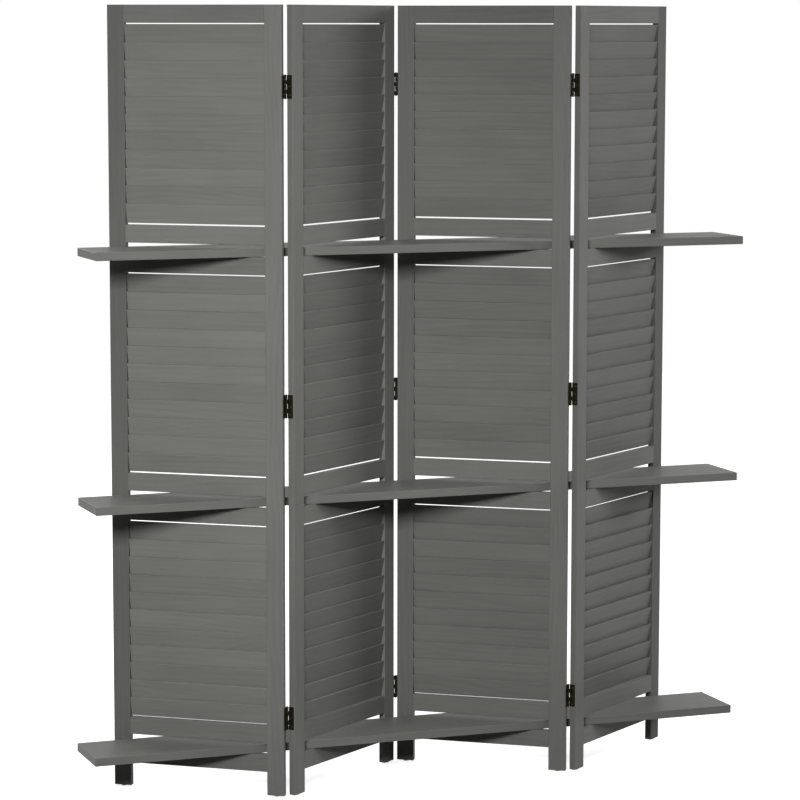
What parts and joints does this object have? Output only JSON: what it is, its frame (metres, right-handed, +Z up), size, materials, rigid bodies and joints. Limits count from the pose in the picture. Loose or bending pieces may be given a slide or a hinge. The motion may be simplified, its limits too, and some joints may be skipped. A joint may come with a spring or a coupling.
{
  "type": "room divider with shelves",
  "caption": "Free-standing folding screen of louvred wooden panels in a zigzag row, with long loose shelf boards laid through slots in the panels.",
  "frame": {"origin": "on the floor under the middle of the row of panels, which is the middle of the hinge joint between panels 2 and 3 projected on the row's centre line", "axes": "+X along the row and the shelf boards, to the right seen from the front; +Y to the back; +Z up"},
  "size_m": [1.512, 0.2432, 1.7],
  "materials": {
    "frame": "grey stain, satin",
    "slats": "grey stain, satin",
    "shelf_board": "grey stain, satin",
    "hinge": "black, worn",
    "hinge_pin": "dull, brassy",
    "screw": "black",
    "glide": "pale grey"
  },
  "bodies": {
    "panel_1": {"panel_1_left_stile": "frame", "panel_1_right_stile": "frame", "panel_1_top_rail": "frame", "panel_1_upper_rails": "frame", "panel_1_middle_rails": "frame", "panel_1_lower_rails": "frame", "panel_1_upper_slats": "slats", "panel_1_middle_slats": "slats", "panel_1_lower_slats": "slats", "panel_1_glides": "glide", "hinge_12_left_leaves": "hinge", "hinge_12_pins": "hinge_pin", "hinge_12_left_screws": "screw"},
    "panel_2": {"panel_2_left_stile": "frame", "panel_2_right_stile": "frame", "panel_2_top_rail": "frame", "panel_2_upper_rails": "frame", "panel_2_middle_rails": "frame", "panel_2_lower_rails": "frame", "panel_2_upper_slats": "slats", "panel_2_middle_slats": "slats", "panel_2_lower_slats": "slats", "panel_2_glides": "glide", "hinge_12_right_leaves": "hinge", "hinge_12_right_screws": "screw", "hinge_23_left_leaves": "hinge", "hinge_23_pins": "hinge_pin", "hinge_23_left_screws": "screw"},
    "panel_3": {"panel_3_left_stile": "frame", "panel_3_right_stile": "frame", "panel_3_top_rail": "frame", "panel_3_upper_rails": "frame", "panel_3_middle_rails": "frame", "panel_3_lower_rails": "frame", "panel_3_upper_slats": "slats", "panel_3_middle_slats": "slats", "panel_3_lower_slats": "slats", "panel_3_glides": "glide", "hinge_23_right_leaves": "hinge", "hinge_23_right_screws": "screw", "hinge_34_left_leaves": "hinge", "hinge_34_pins": "hinge_pin", "hinge_34_left_screws": "screw"},
    "panel_4": {"panel_4_left_stile": "frame", "panel_4_right_stile": "frame", "panel_4_top_rail": "frame", "panel_4_upper_rails": "frame", "panel_4_middle_rails": "frame", "panel_4_lower_rails": "frame", "panel_4_upper_slats": "slats", "panel_4_middle_slats": "slats", "panel_4_lower_slats": "slats", "panel_4_glides": "glide", "hinge_34_right_leaves": "hinge", "hinge_34_right_screws": "screw"},
    "upper_shelf": {"upper_shelf": "shelf_board"},
    "middle_shelf": {"middle_shelf": "shelf_board"},
    "lower_shelf": {"lower_shelf": "shelf_board"}
  },
  "joints": [
    {"name": "fold_12", "type": "hinge", "parent": "panel_2", "child": "panel_1", "pos_m": [-0.33029, -0.10949, 0], "axis": [0, 0, -1], "range_deg": [-2, 107.1]},
    {"name": "fold_23", "type": "hinge", "parent": "panel_2", "child": "panel_3", "pos_m": [0, 0.10949, 0], "axis": [0, 0, -1], "range_deg": [-2, 107.1]},
    {"name": "fold_34", "type": "hinge", "parent": "panel_3", "child": "panel_4", "pos_m": [0.33029, -0.10949, 0], "axis": [0, 0, 1], "range_deg": [-2, 107.1]},
    {"name": "shelf_turn", "type": "hinge", "parent": "panel_2", "child": "lower_shelf", "pos_m": [-0.16515, 0, 0.1107], "axis": [0, 0, -1], "range_deg": [-1, 53.55]},
    {"name": "middle_shelf_slide", "type": "slide", "parent": "lower_shelf", "child": "middle_shelf", "axis": [1, 0, 0], "range_m": [-0.45, 0.45]},
    {"name": "upper_shelf_slide", "type": "slide", "parent": "lower_shelf", "child": "upper_shelf", "axis": [1, 0, 0], "range_m": [-0.45, 0.45]}
  ],
  "couplings": [
    {"joint": "fold_23", "follows": "fold_12", "ratio": 1},
    {"joint": "fold_34", "follows": "fold_12", "ratio": 1},
    {"joint": "shelf_turn", "follows": "fold_12", "ratio": 0.5}
  ]
}
